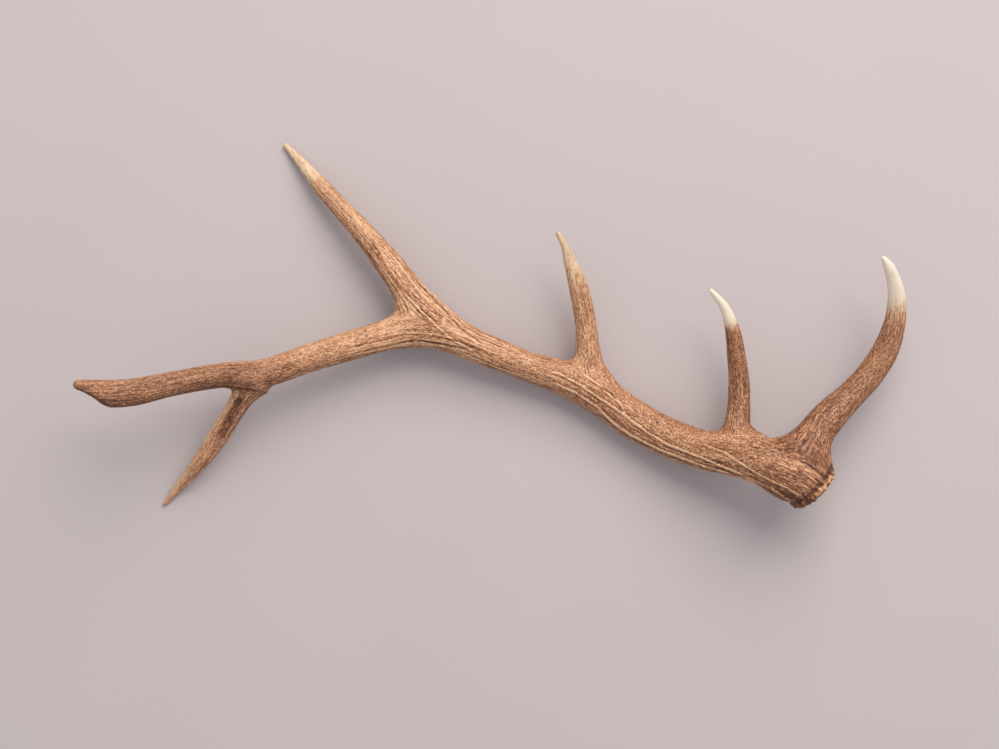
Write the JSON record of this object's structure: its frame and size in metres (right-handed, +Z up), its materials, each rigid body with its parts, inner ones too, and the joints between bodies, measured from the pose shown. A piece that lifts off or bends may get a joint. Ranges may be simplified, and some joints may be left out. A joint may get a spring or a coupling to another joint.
{
  "type": "elk shed antler",
  "caption": "Shed elk antler with a curved beam, long tapering tines, a pearled burr and a flat shed seal, lying on its outer side.",
  "frame": {"origin": "on the table under the middle of the antler's plan, as it lies on its outer side", "axes": "+X from the beam's worn end to the burr, +Y to the royal tine's tip, +Z up from the table"},
  "size_m": [1.0596, 0.4781, 0.1588],
  "materials": {
    "beam_bone": "matte brown bone with dark grooves and paler worn ridges",
    "tine_bone": "matte tan bone, worn smooth and ivory at the tips"
  },
  "bodies": {
    "root": {"lower_beam": "beam_bone", "upper_beam": "beam_bone", "brow_tine": "tine_bone", "bez_tine": "tine_bone", "trez_tine": "tine_bone", "royal_tine": "tine_bone", "surroyal_tine": "tine_bone"}
  },
  "joints": []
}
